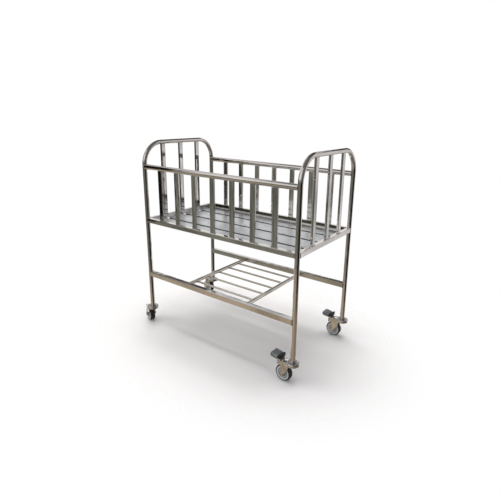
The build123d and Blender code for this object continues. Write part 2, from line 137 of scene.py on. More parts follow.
def make_piece(name, skins, material, replaces=(), body="frame"):
    """One object of one or more skins: their points and faces one after another.
    """
    points = np.concatenate([s[0] for s in skins])
    starts = np.cumsum([0] + [len(s[0]) for s in skins[:-1]])
    faces, uvs = [], []
    for start, (_, quads, quad_uvs, ends) in zip(starts, skins):
        faces += (quads + start).tolist() + [(end + start).tolist() for end in ends]
        uvs += [quad_uvs.reshape(-1, 2)] + [np.zeros((len(end), 2)) for end in ends]
    mesh = bpy.data.meshes.new(name)
    mesh.from_pydata(points.tolist(), [], faces)
    mesh.uv_layers.new(name="metres").data.foreach_set("uv", np.concatenate(uvs).ravel())
    mesh.shade_smooth()
    mesh.set_sharp_from_angle(angle=math.radians(crease_angle))
    piece = bpy.data.objects.new(name, mesh)
    bpy.context.scene.collection.objects.link(piece)
    evened = piece.modifiers.new("even_shading", "WEIGHTED_NORMAL")
    evened.keep_sharp = True
    piece.data.materials.append(material)
    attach(piece, body)
    if replaces:
        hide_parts(*replaces)
    print(name, len(points), "points")


# %% Profiles and paths
def angles(count):
    """Even angles once round."""
    return np.arange(count) * 2 * np.pi / count


def circle(radius, count=32):
    """Points (radius cos a, radius sin a) at even angles a."""
    a = angles(count)
    return radius * np.stack([np.cos(a), np.sin(a)], -1)


def rounded_rectangle(width, depth, radius, steps=5):
    """A quarter circle about each corner's centre, joined by the straight sides."""
    a = np.linspace(0, np.pi / 2, steps)[None] + np.arange(4)[:, None] * np.pi / 2
    centre_x = (width / 2 - radius) * np.array([1, -1, -1, 1])[:, None]
    centre_y = (depth / 2 - radius) * np.array([1, 1, -1, -1])[:, None]
    x, y = centre_x + radius * np.cos(a), centre_y + radius * np.sin(a)
    return np.stack([x.ravel(), y.ravel()], -1)


def carry(profile, path, side, ring=False, scale=None):
    """Profile along a path: path(i) + scale(i) (x(j) across(i) + y(j) side).

    across is the unit vector square to the path's direction and to side.
    """
    ahead = np.roll(path, -1, 0) - np.roll(path, 1, 0)
    if not ring:
        ahead[0], ahead[-1] = path[1] - path[0], path[-1] - path[-2]
    side = np.asarray(side, float)
    across = np.cross(ahead, side)
    across /= np.linalg.norm(across, axis=-1, keepdims=True)
    scale = np.ones(len(path)) if scale is None else scale
    offsets = profile[None, :, :1] * across[:, None] + profile[None, :, 1:] * side
    return path[:, None] + scale[:, None, None] * offsets


def straight(start, end, rows=9):
    """Rows between two rings of points: start + f (end - start) for f from 0 to 1."""
    f = np.linspace(0, 1, rows)[:, None, None]
    return start[None] + f * (end - start)[None]


# %% [markdown]
# ## The room that the steel mirrors
# Polished steel has hardly a colour of its own. What the photograph shows in it is a room: a tan
# floor that is pale behind the crib, a dull olive wall in front with a window above it, a dark
# doorway to the right, a pale wall behind the right end, dark beams and a post at the back, a grey
# ceiling, and behind the crib a white backdrop. A plain white world would turn the steel to chalk.
# So the world is this soft room, and noise mottles it as a room's clutter would. Light Path gives
# the camera plain white, and gives mirrors the same white where the backdrop stands.

# %% Small helpers for node graphs
def add_node(tree, kind, inputs=None, **settings):
    """A shader node. Each input is a number, a colour or another node's output."""
    made = tree.nodes.new(kind)
    for name, value in settings.items():
        setattr(made, name, value)
    for name, value in (inputs or {}).items():
        if isinstance(value, bpy.types.NodeSocket):
            tree.links.new(value, made.inputs[name])
        else:
            made.inputs[name].default_value = value
    return made


def math_node(tree, operation, *values):
    """The output of a Math node for an operation on numbers or outputs."""
    node = add_node(tree, "ShaderNodeMath", dict(enumerate(values)), operation=operation)
    return node.outputs[0]


def ramp(tree, value, low, high, to_low=0.0, to_high=1.0):
    """Smooth step: to_low where value is under low, to_high where it is over high."""
    inputs = {"Value": value, "From Min": low, "From Max": high, "To Min": to_low, "To Max": to_high}
    return add_node(tree, "ShaderNodeMapRange", inputs, interpolation_type="SMOOTHSTEP").outputs[0]


def blend_colours(tree, share, first, second):
    """first where share is 0, second where it is 1."""
    inputs = {0: share, 6: first, 7: second}
    return add_node(tree, "ShaderNodeMix", inputs, data_type="RGBA").outputs[2]


def principled(name, metal):
    """A new material, its node tree and its Principled shader."""
    made = bpy.data.materials.new(name)
    made.use_nodes = True
    shader = made.node_tree.nodes["Principled BSDF"]
    shader.inputs["Metallic"].default_value = metal
    return made, made.node_tree, shader


def times(tree, vector, factors):
    """Product of a vector or colour and a factor for each of its three numbers."""
    return add_node(tree, "ShaderNodeVectorMath", {0: vector, 1: factors}, operation="MULTIPLY").outputs[0]


def noise(tree, place, scale, detail):
    """The grey of a Noise Texture, about 0.5 on average."""
    inputs = {"Vector": place, "Scale": scale, "Detail": detail}
    return add_node(tree, "ShaderNodeTexNoise", inputs).outputs["Fac"]


# %% Build the world
def sector(tree, level, middle, wide, full):
    """1 within full degrees of the compass direction middle, 0 beyond wide degrees.

    Compass degrees are counted from +X, along the crib, round towards +Y, its rear.
    """
    aim = (math.cos(math.radians(middle)), math.sin(math.radians(middle)), 0.0)
    turned_off = add_node(tree, "ShaderNodeVectorMath", {0: level, 1: aim}, operation="DOT_PRODUCT")
    edges = math.cos(math.radians(wide)), math.cos(math.radians(full))
    return ramp(tree, turned_off.outputs["Value"], *edges)


def both(tree, first, *others):
    """Product of shares: where all of them are 1."""
    for other in others:
        first = math_node(tree, "MULTIPLY", first, other)
    return first


def paint(tree, room, level, height, patches):
    """Lay patches over the room's colour, one after another.

    A patch is a colour, a compass sector (middle, wide, full) or None, and pairs of heights: it
    fades in from the first of a pair to the second. A height is the sine of the angle above level.
    """
    for colour, compass, fades in patches:
        shares = [sector(tree, level, *compass)] if compass else []
        shares += [ramp(tree, height, *fade) for fade in fades]
        room = blend_colours(tree, both(tree, *shares), room, colour)
    return room


front_wall = (0.215, 0.222, 0.19, 1)
right_wall = (0.12, 0.11, 0.10, 1)
upper_wall = (0.46, 0.46, 0.45, 1)
ceiling = (0.80, 0.77, 0.79, 1)
high_right = (0.17, 0.16, 0.165, 1)
pale_wall = (0.74, 0.73, 0.75, 1)
beams = (0.065, 0.061, 0.061, 1)
overhead = (0.17, 0.165, 0.165, 1)
doorway = (0.010, 0.010, 0.012, 1)
front_ground = (0.46, 0.38, 0.28, 1)
right_ground = (0.30, 0.245, 0.18, 1)
ground_below = (0.20, 0.19, 0.17, 1)
ground_behind = (0.86, 0.84, 0.81, 1)
white = (1, 1, 1, 1)

walls = [
    (right_wall, (0, 125, 50), []),
    (upper_wall, None, [(-0.04, 0.20)]),
    (ceiling, None, [(0.20, 0.62)]),
    (high_right, (0, 70, 40), [(-0.02, 0.10)]),
    (pale_wall, (66, 40, 26), [(0.64, 0.50)]),
    (white, (-125, 72, 52), [(0.14, 0.26), (0.66, 0.56)]),
    (beams, (125, 38, 24), [(0.345, 0.385), (0.455, 0.42)]),
    (beams, (112, 40, 26), [(0.54, 0.60)]),
    (beams, (80, 62, 38), [(0.50, 0.60)]),
    (beams, (91, 23, 17), [(0.08, 0.14), (0.47, 0.43)]),
    (overhead, None, [(0.76, 0.86)]),
    (doorway, (0, 44, 31), [(0.06, -0.06)]),
]
grounds = [
    (ground_below, None, [(-0.55, -0.80)]),
    (ground_behind, (131, 62, 44), [(-0.14, -0.28)]),
]
ground_drop = 0.08
clutter_scale = (11.0, 11.0, 4.0)

world = bpy.data.worlds.new("studio")
bpy.context.scene.world = world
world.use_nodes = True
tree = world.node_tree
tree.nodes.clear()
direction = add_node(tree, "ShaderNodeTexCoord").outputs["Generated"]
height = add_node(tree, "ShaderNodeSeparateXYZ", {0: direction}).outputs["Z"]
level = times(tree, direction, (1, 1, 0))
level = add_node(tree, "ShaderNodeVectorMath", {0: level}, operation="NORMALIZE").outputs[0]

room = paint(tree, front_wall, level, height, walls)
aside = sector(tree, level, 10, 75, 40)
ground = blend_colours(tree, aside, front_ground, right_ground)
lowered = math_node(tree, "MULTIPLY_ADD", aside, ground_drop, height)
room = blend_colours(tree, ramp(tree, lowered, -0.31, -0.42), room, ground)
room = paint(tree, room, level, height, grounds)
clutter = noise(tree, times(tree, direction, clutter_scale), 1.0, 3.0)
room = times(tree, room, ramp(tree, clutter, 0.32, 0.68, 0.72, 1.30))
backdrop = both(tree, sector(tree, level, 139, 36, 28), ramp(tree, height, 0.375, 0.335))
path = add_node(tree, "ShaderNodeLightPath")
mirrored = math_node(tree, "MAXIMUM", path.outputs["Is Glossy Ray"], path.outputs["Is Transmission Ray"])
mirrored = math_node(tree, "MULTIPLY", mirrored, backdrop)
shown = math_node(tree, "MAXIMUM", path.outputs["Is Camera Ray"], mirrored)
seen = blend_colours(tree, shown, room, white)
background = add_node(tree, "ShaderNodeBackground", {"Color": seen, "Strength": 1.0})
add_node(tree, "ShaderNodeOutputWorld", {"Surface": background.outputs[0]})
bpy.context.scene.view_settings.view_transform = "Standard"
print("world:", len(tree.nodes), "nodes")

# %% [markdown]
# ## Floor, card and lamps
# The floor is a plain pale oval. Near its rim it grows transparent, so that it melts into the white
# background and no edge shows, and it keeps the crib's soft shadow. Photographers hold cards beside
# polished metal to draw its edges. One black card stands to the left here, seen only by mirrors.
# One wide lamp overhead and a weaker one from the front left light the matt parts and the floor.
# The mirrors see neither the lamps, because the photograph shows no burnt-out highlights, nor this
# floor, because the ground that they show is the room's.

# %% Lay the floor
def oval(length, width, rings=12, count=96):
    """Rings of growing size at height 0, round the origin: f (length cos a, width sin a) / 2."""
    f = np.linspace(1 / rings / 4, 1, rings)
    a = angles(count)
    x, y = np.outer(f, length / 2 * np.cos(a)), np.outer(f, width / 2 * np.sin(a))
    return np.stack([x, y, np.zeros((rings, count))], -1)


def stage_mesh(name, points, faces, material):
    """A mesh of the studio, which isn't part of the crib."""
    mesh = bpy.data.meshes.new(name)
    mesh.from_pydata(points.tolist(), [], faces)
    mesh.validate()
    mesh.materials.append(material)
    made = bpy.data.objects.new(name, mesh)
    bpy.context.scene.collection.objects.link(made)
    return made


floor_length, floor_width = 2.0, 1.56
floor_grey = (0.93, 0.93, 0.93, 1)
melt_start, melt_end = 0.46, 0.995
floor_paint = bpy.data.materials.new("pale_floor")
floor_paint.use_nodes = True
tree = floor_paint.node_tree
tree.nodes.clear()
place = add_node(tree, "ShaderNodeTexCoord").outputs["Object"]
share = times(tree, place, (2 / floor_length, 2 / floor_width, 0))
share = add_node(tree, "ShaderNodeVectorMath", {0: share}, operation="LENGTH").outputs["Value"]
matt = add_node(tree, "ShaderNodeBsdfDiffuse", {"Color": floor_grey})
clear = add_node(tree, "ShaderNodeBsdfTransparent", {"Color": white})
melt = add_node(tree, "ShaderNodeMixShader", {0: ramp(tree, share, melt_start, melt_end)})
tree.links.new(matt.outputs[0], melt.inputs[1])
tree.links.new(clear.outputs[0], melt.inputs[2])
add_node(tree, "ShaderNodeOutputMaterial", {"Surface": melt.outputs[0]})
floor_points, floor_quads, _, floor_ends = skin(oval(floor_length, floor_width))
floor = stage_mesh("floor", floor_points, floor_quads.tolist() + [floor_ends[0].tolist()], floor_paint)
floor.visible_glossy = False

# %% Stand the black card
card_black, _, card_shader = principled("card_black", 0.0)
card_shader.inputs["Base Color"].default_value = (0.01, 0.01, 0.01, 1)
card_shader.inputs["Roughness"].default_value = 1.0
card_x, near_y, far_y, low_z, high_z = -1.5, -1.42, -0.50, 0.20, 1.90
card_corners = [(near_y, low_z), (far_y, low_z), (far_y, high_z), (near_y, high_z)]
card_points = np.array([(card_x, y, z) for y, z in card_corners])
card = stage_mesh("black_card", card_points, [[0, 1, 2, 3]], card_black)
card.visible_camera = card.visible_diffuse = card.visible_shadow = card.visible_transmission = False


# %% Hang the lamps
def add_lamp(name, place, aim, width, depth, power, colour):
    """A rectangular lamp that faces its aim."""
    data = bpy.data.lights.new(name, "AREA")
    data.shape, data.size, data.size_y = "RECTANGLE", width, depth
    data.energy, data.color = power, colour
    lamp = bpy.data.objects.new(name, data)
    bpy.context.scene.collection.objects.link(lamp)
    back = np.array(place) - np.array(aim)
    back /= np.linalg.norm(back)
    side = np.cross((0, 1, 0), back)
    side /= np.linalg.norm(side)
    turn = np.eye(4)
    turn[:3, 0], turn[:3, 1], turn[:3, 2], turn[:3, 3] = side, np.cross(back, side), back, place
    lamp.matrix_world = Matrix(turn.tolist())
    lamp.visible_glossy = False


crib_middle = (0, 0, 0.5)
add_lamp("overhead", (-0.1, 0.3, 2.6), crib_middle, 2.4, 1.8, power=62.0, colour=(1.0, 0.98, 0.97))
add_lamp("front_left", (-1.9, -1.7, 1.9), crib_middle, 1.0, 1.4, power=18.0, colour=(1.0, 0.97, 0.95))

# %% [markdown]
# ## Polished steel
# A mirror polish is made with felt wheels that run along the tube. It leaves hair-fine lines
# along the piece, a slight waviness, and here and there a duller patch from hands and cloths. The
# texture coordinates run along each piece, so noise stretched along them gives those lines, and
# slow noise in the piece's own space gives the waviness and the patches. Shade is painted dark
# into the deck's folds, where they show in the gaps, and onto the rear deck rail's inner face, and
# a coordinate says where the painted shade begins.

# %% Make the steel
hair_depth = 0.000004
# Colour of the painted shade in the deck's folds and on the rear deck rail's inner face.
painted_shade_colour = (0.07, 0.062, 0.045, 1)


def drawn_out(tree, uv, across, along):
    """Texture coordinates for noise with so many grains a metre across a piece and along it."""
    inputs = {"Vector": uv, "Scale": (across, along, 1.0)}
    return add_node(tree, "ShaderNodeMapping", inputs).outputs[0]


def bumped(tree, height, distance, strength=1.0, under=None):
    """A Bump node's normal: the surface, or the normal under it, pushed out by height x distance."""
    inputs = {"Height": height, "Distance": distance, "Strength": strength}
    if under is not None:
        inputs["Normal"] = under
    return add_node(tree, "ShaderNodeBump", inputs).outputs[0]


def steel(name, colour, dull, patch=0.06, lines=0.02, waves=0.0004, stain=None, streaks=0.0, painted_shade=None):
    """Principled metal. Roughness is dull plus patches and fine lines along the piece.

    The colour is a mottle of the given one and the stain, and streaks along the piece darken it
    by their share. The option for painted shade lists axes, each with the coordinate where the
    steel is still unshaded and the one from which on it is dark with painted shade. It is dark
    where all of them say so.
    """
    made, tree, shader = principled(name, 1.0)
    at = add_node(tree, "ShaderNodeTexCoord").outputs
    hair = noise(tree, drawn_out(tree, at["UV"], 2600.0, 24.0), 1.0, 2.0)
    cloud, slow = noise(tree, at["Object"], 9.0, 4.0), noise(tree, at["Object"], 26.0, 1.0)
    patches = ramp(tree, cloud, 0.45, 0.72, dull, dull + patch)
    hairs = ramp(tree, hair, 0.35, 0.75, 0.0, lines)
    tree.links.new(math_node(tree, "ADD", patches, hairs), shader.inputs["Roughness"])
    tint = stain or [0.93 * c for c in colour]
    mottle = blend_colours(tree, ramp(tree, cloud, 0.35, 0.75), (*colour, 1), (*tint, 1))
    if streaks:
        streak = noise(tree, drawn_out(tree, at["UV"], 80.0, 4.0), 1.0, 3.0)
        mottle = blend_colours(tree, ramp(tree, streak, 0.38, 0.68, 0.0, streaks), mottle, (0, 0, 0, 1))
    # Painted shade: the colour goes dark where every listed axis says so.
    if painted_shade:
        along = add_node(tree, "ShaderNodeSeparateXYZ", {0: at["Object"]}).outputs
        share = both(tree, *[ramp(tree, along[axis], unshaded, dark) for axis, unshaded, dark in painted_shade])
        mottle = blend_colours(tree, share, mottle, painted_shade_colour)
    tree.links.new(mottle, shader.inputs["Base Color"])
    waved = bumped(tree, slow, waves)
    tree.links.new(bumped(tree, hair, hair_depth, 0.6, waved), shader.inputs["Normal"])
    return made


polished_tube = steel("polished_tube", (0.66, 0.63, 0.60), 0.045)
polished_bar = steel("polished_bar", (0.78, 0.75, 0.71), 0.055, streaks=0.55)
deck_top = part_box("deck_strip_1")[1][2]
# Painted shade in the gaps between the strips: the folds go dark from 1.4 to 2.1 mm under the top.
fold_painted_shade = [("Z", deck_top - 0.0014, deck_top - 0.0021)]
deck_sheet = steel("deck_sheet", (0.90, 0.935, 0.955), 0.33, patch=0.08, lines=0.05, waves=0.0016,
                   painted_shade=fold_painted_shade)
# Painted shade on the rear deck rail's inner face, growing from 3 mm above the deck to full at 8 mm.
inner_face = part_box("rear_deck_rail")[0][1]
rail_painted_shade = [("Y", inner_face + 0.0022, inner_face + 0.0006), ("Z", deck_top + 0.003, deck_top + 0.008)]
painted_shade_tube = steel("painted_shade_tube", (0.66, 0.63, 0.60), 0.045, painted_shade=rail_painted_shade)
shelf_steel = steel("shelf_steel", (0.68, 0.64, 0.58), 0.07)
weld_steel = steel("weld_steel", (0.58, 0.55, 0.50), 0.16, patch=0.12, lines=0.0, stain=(0.46, 0.42, 0.38))


# %% [markdown]
# ## End frames
# Each end of the crib is one length of round tube, bent twice over a roller of 105 mm radius. The
# surface is a circle carried up one leg, round two quarter turns and down the other leg. The foot
# of each leg is turned in a little, as a cut tube is when its edge is broken.

# %% Read the frame's places from the CAD boxes
def span(node):
    """Lowest and highest corner of a CAD node."""
    low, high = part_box(node)
    return np.array(low), np.array(high)


left_low, left_high = span("left_end_tube")
right_high = span("right_end_tube")[1]
leg_radius = (left_high[0] - left_low[0]) / 2
left_x, right_x = left_low[0] + leg_radius, right_high[0] - leg_radius
front_y, rear_y = left_low[1] + leg_radius, left_high[1] - leg_radius
foot_z, end_top_z = left_low[2], left_high[2] - leg_radius
end_bend_radius, lip = 0.105, 0.0006
mid_x = (left_x + right_x) / 2
print("legs at x", round(left_x, 5), round(right_x, 5), "y", round(front_y, 5), round(rear_y, 5))


# %% Bend the end tubes
def end_frame_path(x, bend_steps=26, leg_steps=14, top_steps=8):
    """Up a leg, a quarter circle, along the top, a quarter circle, down the other leg."""
    bend_y, bend_z = rear_y - end_bend_radius, end_top_z - end_bend_radius
    a = np.linspace(0, np.pi / 2, bend_steps)
    leg_z = np.linspace(foot_z, bend_z, leg_steps)[:-1]
    top_y = np.linspace(-bend_y, bend_y, top_steps)[1:-1]
    y = np.concatenate([np.full(len(leg_z), front_y), -bend_y - end_bend_radius * np.cos(a), top_y])
    z = np.concatenate([leg_z, bend_z + end_bend_radius * np.sin(a), np.full(len(top_y), end_top_z)])
    half = len(leg_z) + bend_steps
    y = np.concatenate([y, -y[:half][::-1]])
    z = np.concatenate([z, z[:half][::-1]])
    return np.stack([np.full(len(y), x), y, z], -1)


for end, x in (("left", left_x), ("right", right_x)):
    line = end_frame_path(x)
    line = np.concatenate([line[:1], line[:1] + (0, 0, lip), line[1:-1], line[-1:] + (0, 0, lip), line[-1:]])
    taper = np.ones(len(line))
    taper[[0, -1]] = 1 - lip / leg_radius
    tube = carry(circle(leg_radius, 48), line, (1, 0, 0), scale=taper)
    make_piece(end + "_end_frame", [skin(tube)], polished_tube, [end + "_end_tube"])


# %% [markdown]
# ## Rails
# The rails run between the legs, and each end is cut to the round of the leg that it meets. At an
# offset d from the leg's axis the leg's surface stands sqrt(R R - d d) out from that axis, so each
# point of the rail's profile gets its own start and end. A small bead of weld follows the joint.

# %% Shape rail ends to a leg
cope_tip, sink = 0.006, 0.0002
square_corner_radius, rail_bead, ripple = 0.0025, 0.0013, 0.13


def reach_of_round(offset, radius, least=cope_tip):
    """How far a round tube's surface stands out at an offset from its axis, less a small sink."""
    return np.maximum(least, np.sqrt(np.maximum(0, radius ** 2 - offset ** 2)) - sink)


def bead(contour, radius, side, pitch=0.0024):
    """Weld bead: a small circle along the contour of a joint, with a ripple where each drop froze.

    The contour is walked in even steps of a quarter ripple, and the circle's radius is
    radius (1 + ripple cos(2 pi s / pitch)).
    """
    closed = np.concatenate([contour, contour[:1]])
    walked = lengths(closed)
    ripples = max(3, round(walked[-1] / pitch))
    s = np.linspace(0, walked[-1], ripples * 4 + 1)[:-1]
    line = np.stack([np.interp(s, walked, closed[:, k]) for k in range(3)], -1)
    swell = 1 + ripple * np.cos(2 * np.pi * ripples * s / walked[-1])
    return skin(carry(circle(radius, 8), line, side, ring=True, scale=swell), ring=True)


def tube_between(profile, axis, middle, starts, ends, bead_radius):
    """Straight tube along an axis, 0 for X and 1 for Y, and the beads round its two ends.

    A point (p, q) of the profile lies at middle + (p, q) in the plane square to the axis, and
    goes from its own start to its own end along it.
    """
    ring = np.insert(middle + profile, axis, 0.0, axis=1)
    start, end = ring.copy(), ring.copy()
    start[:, axis], end[:, axis] = starts, ends
    ahead = np.eye(3)[axis]
    return skin(straight(start, end)), [bead(rim, bead_radius, ahead) for rim in (start, end)]


def side_rail(node, square):
    """Tube along X, square or round, whose ends are saddled on the legs, and its two beads."""
    low, high = span(node)
    size = high[2] - low[2]
    y, z = (low[1] + high[1]) / 2, (low[2] + high[2]) / 2
    profile = rounded_rectangle(size, size, square_corner_radius) if square else circle(size / 2, 40)
    leg_y = front_y if y < 0 else rear_y
    off = y - leg_y if square else 0.0
    out = reach_of_round(profile[:, 0] + off, leg_radius)
    return tube_between(profile, 0, (y, z), left_x + out, right_x - out, rail_bead)


welds = []
for side in ("front", "rear"):
    for height in ("low", "deck", "top"):
        node = side + "_" + height + "_rail"
        rail, rail_beads = side_rail(node, square=height != "top")
        # The rear deck rail takes the steel with painted shade on its inner face.
        finish = painted_shade_tube if node == "rear_deck_rail" else polished_tube
        make_piece(node + "_skin", [rail], finish, [node])
        welds += rail_beads


# %% Cross the ends with square tube
def end_rail(node, x):
    """Square tube along Y between the two legs of an end frame, cut back at the side rails."""
    low, high = span(node)
    size, z = high[2] - low[2], (low[2] + high[2]) / 2
    profile = rounded_rectangle(size, size, square_corner_radius)
    inward = profile[:, 0] * (1 if x < mid_x else -1) > cope_tip
    out = reach_of_round(profile[:, 0], leg_radius)
    out = np.where(inward, np.maximum(out, size / 2), out)
    return tube_between(profile, 1, (x, z), front_y + out, rear_y - out, rail_bead)


for end, x in (("left", left_x), ("right", right_x)):
    node = end + "_deck_rail"
    rail, rail_beads = end_rail(node, x)
    make_piece(node + "_skin", [rail], polished_tube, [node])
    welds += rail_beads

# %% [markdown]
# ## Upright bars
# The slats and end bars are flat tube, 25 by 10 mm, with rounded corners. They stand square on the
# deck rail, and their upper ends are hollowed to the round tube above. All bars of a side are
# one piece here, as they are one node in the CAD.

# %% Stand the bars
bar_width, bar_corner_radius = 0.025, 0.002
bar_bead, bead_lift = 0.0011, 0.0004
deck_rail_top = span("front_deck_rail")[1][2]


def upright_bar(x, y, wide, deep, offset_of, tube_radius, tube_z):
    """Flat tube from the deck rail up to a round tube, whose axis lies at tube_z.

    offset_of picks the profile's distance from the vertical plane of that axis.
    """
    profile = rounded_rectangle(wide, deep, bar_corner_radius)
    ring = np.stack([x + profile[:, 0], y + profile[:, 1], np.zeros(len(profile))], -1)
    foot, head = ring.copy(), ring.copy()
    foot[:, 2] = deck_rail_top - sink
    head[:, 2] = tube_z - reach_of_round(profile[:, offset_of], tube_radius)
    lifted = ring.copy()
    lifted[:, 2] = deck_rail_top + bead_lift
    return skin(straight(foot, head, 7)), [bead(rim, bar_bead, (0, 0, 1)) for rim in (lifted, head)]


for side in ("front", "rear"):
    low, high = span(side + "_slats")
    rail_low, rail_high = span(side + "_top_rail")
    rail_radius = (rail_high[2] - rail_low[2]) / 2
    y, deep, rail_z = (low[1] + high[1]) / 2, high[1] - low[1], rail_high[2] - rail_radius
    bars = []
    for x in np.linspace(low[0] + bar_width / 2, high[0] - bar_width / 2, 7):
        bar, bar_beads = upright_bar(x, y, bar_width, deep, 1, rail_radius, rail_z)
        bars.append(bar)
        welds += bar_beads
    make_piece(side + "_slat_tubes", bars, polished_bar, [side + "_slats"])

for end, x in (("left", left_x), ("right", right_x)):
    low, high = span(end + "_end_bars")
    bars = []
    for y in np.linspace(low[1] + bar_width / 2, high[1] - bar_width / 2, 3):
        bar, bar_beads = upright_bar(x, y, high[0] - low[0], bar_width, 0, leg_radius, end_top_z)
        bars.append(bar)
        welds += bar_beads
    make_piece(end + "_bar_tubes", bars, polished_bar, [end + "_end_bars"])

# %% [markdown]
# ## Mattress deck
# Four strips of sheet lie between the rails. Their long edges are folded down for stiffness, and
# their ends step down to tongues that are welded under the end rails. One profile, a sheet with
# two folds, is carried along the strip. The folds' depth and the sheet's height change on the
# way, and a thin sheet never lies quite flat, so the middle is given a slow wave.

# %% Fold the strips
sheet_thickness, fold_radius = 0.0012, 0.0012
tongue_lap, joggle_run, step_gap = 0.014, 0.003, 0.001
step_edge, wave_depth = 0.00001, 0.00022


def folded_profile(width, top, depth, columns=13, steps=4):
    """Ring of (y, z) points: outside up, over the top and down, then back along the inside."""
    a = np.linspace(0, np.pi / 2, steps)
    half, bend, thick = width / 2, fold_radius, sheet_thickness
    corner_y, corner_z = -half + bend - bend * np.cos(a), top - bend + bend * np.sin(a)
    across = np.linspace(-half + bend, half - bend, columns)[1:-1]
    outer_y = np.concatenate([[-half], corner_y, across, -corner_y[::-1], [half]])
    level = np.full(len(across), top)
    outer_z = np.concatenate([[top - depth], corner_z, level, corner_z[::-1], [top - depth]])
    under = np.linspace(half - thick, -half + thick, columns)
    inner_y = np.concatenate([[half - thick], under, [-half + thick]])
    inner_z = np.concatenate([[top - depth], np.full(len(under), top - thick), [top - depth]])
    return np.stack([np.concatenate([outer_y, inner_y]), np.concatenate([outer_z, inner_z])], -1)


def deck_strip(node, phase):
    """Profile at each station along X: tongue, step, folded middle, step, tongue.

    At a share f of its length the middle is moved up by
    wave_depth (cos(pi y / width) sin(7 pi f + phase) sin(pi f) - 1), so it never rises over the
    CAD's face.
    """
    low, high = span(node)
    y, width, top, depth = (low[1] + high[1]) / 2, high[1] - low[1], high[2], high[2] - low[2]
    flat_low = low[0] + tongue_lap + step_gap + joggle_run
    flat_high = high[0] - tongue_lap - step_gap - joggle_run
    middle = np.linspace(flat_low, flat_high, 41)
    start = [low[0], flat_low - joggle_run, flat_low - step_edge]
    end = [flat_high + step_edge, flat_high + joggle_run, high[0]]
    x = np.concatenate([start, middle, end])
    folded = folded_profile(width, top, depth)
    plain = folded_profile(width, top, 1.02 * sheet_thickness)
    tongue = plain - (0, sheet_thickness)
    profiles = np.stack([tongue, tongue, plain] + [folded] * len(middle) + [plain, tongue, tongue])
    wave = np.zeros(profiles.shape[:2])
    f = (middle - flat_low) / (flat_high - flat_low)
    across = np.cos(np.pi * profiles[3:-3, :, 0] / width)
    wave[3:-3] = wave_depth * across * (np.sin(7 * np.pi * f + phase) * np.sin(np.pi * f))[:, None]
    z = profiles[..., 1] + wave - wave_depth * (wave != 0)
    return skin(np.stack([x[:, None] + 0 * z, y + profiles[..., 0], z], -1))


for number in range(1, 5):
    node = "deck_strip_%d" % number
    make_piece(node + "_sheet", [deck_strip(node, 1.3 * number)], deck_sheet, [node])

# %% [markdown]
# ## Shelf
# Below, two round tubes cross between the low rails, and five round rods run between them. The
# rods' ends are hollowed to the cross tubes, and small beads hold every joint.

# %% Cross tubes and rods
cross_bead, rod_bead, rod_cope_tip = 0.0012, 0.0010, 0.004
tube_x = {}
for end in ("left", "right"):
    node = end + "_shelf_tube"
    low, high = span(node)
    tube_z, tube_radius = (low[2] + high[2]) / 2, (high[0] - low[0]) / 2
    tube_x[end] = (low[0] + high[0]) / 2
    profile = circle(tube_radius, 32)
    tube, tube_beads = tube_between(profile, 1, (tube_x[end], tube_z), low[1], high[1], cross_bead)
    make_piece(node + "_skin", [tube], shelf_steel, [node])
    welds += tube_beads

low, high = span("shelf_rods")
rod_radius = (high[2] - low[2]) / 2
rod_z = low[2] + rod_radius
profile = circle(rod_radius, 24)
out = reach_of_round(rod_z + profile[:, 1] - tube_z, tube_radius, least=rod_cope_tip)
rods = []
for y in np.linspace(low[1] + rod_radius, high[1] - rod_radius, 5):
    starts, ends = tube_x["left"] + out, tube_x["right"] - out
    rod, rod_beads = tube_between(profile, 0, (y, rod_z), starts, ends, rod_bead)
    rods.append(rod)
    welds += rod_beads
make_piece("shelf_rod_bars", rods, shelf_steel, ["shelf_rods"])
make_piece("weld_beads", welds, weld_steel)

# %% [markdown]
# ## Casters
# A caster is made of turned and pressed parts, and all four are alike but for the way that they
# point. So each part is worked out once in the caster's own measures, reach from the swivel axis
# towards the wheel, distance across, and height, and then set in place. Where a caster stands and
# points comes from the CAD: its stem marks the swivel axis and its tyre marks the wheel.

# %% Find the casters
places = ["front_left", "front_right", "rear_left", "rear_right"]
stands = {}
for place in places:
    stem_middle = np.mean(span(place + "_stem"), axis=0)
    wheel_middle = np.mean(span(place + "_tyre"), axis=0)
    step = (wheel_middle - stem_middle)[:2]
    stands[place] = (stem_middle[:2], step / np.linalg.norm(step))
trail, axle_z = np.linalg.norm(step), wheel_middle[2]
braked = [place for place in places if place + "_brake_pedal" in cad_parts]
print("trail", round(trail, 5), "axle height", round(axle_z, 5), "brakes on", braked)


def set_in(place, grid):
    """Point in the row frame: stand + reach towards + across sideways + height up."""
    (x, y), (tx, ty) = stands[place]
    reach, across, height = grid[..., 0], grid[..., 1], grid[..., 2]
    return np.stack([x + reach * tx - across * ty, y + reach * ty + across * tx, height], -1)


# %% Turned and pressed shapes
mm = 0.001


def soften(corners, cut, steps=6):
    """Closed outline whose corners are rounded by small parabolas.

    About a corner P the curve is (1-t)^2 A + 2t(1-t) P + t^2 B, where A and B lie on the two sides
    at the distance cut from P, or at under half a side where the side is short.
    """
    corners = np.asarray(corners, float)
    to_last, to_next = np.roll(corners, 1, 0) - corners, np.roll(corners, -1, 0) - corners
    last, after = np.linalg.norm(to_last, axis=1), np.linalg.norm(to_next, axis=1)
    cut = np.broadcast_to(np.asarray(cut, float), len(corners))
    a = corners + to_last * (np.minimum(cut, 0.49 * last) / last)[:, None]
    b = corners + to_next * (np.minimum(cut, 0.49 * after) / after)[:, None]
    t = np.linspace(0, 1, steps)[None, :, None]
    curve = (1 - t) ** 2 * a[:, None] + 2 * t * (1 - t) * corners[:, None] + t ** 2 * b[:, None]
    return curve.reshape(-1, 2)


def turned(profile, count=48):
    """Profile of (radius, height) turned about the swivel axis: (r cos a, r sin a, z)."""
    a = angles(count)
    r, z = profile[:, :1], profile[:, 1:]
    return np.stack([r * np.cos(a), r * np.sin(a), z + 0 * a], -1)


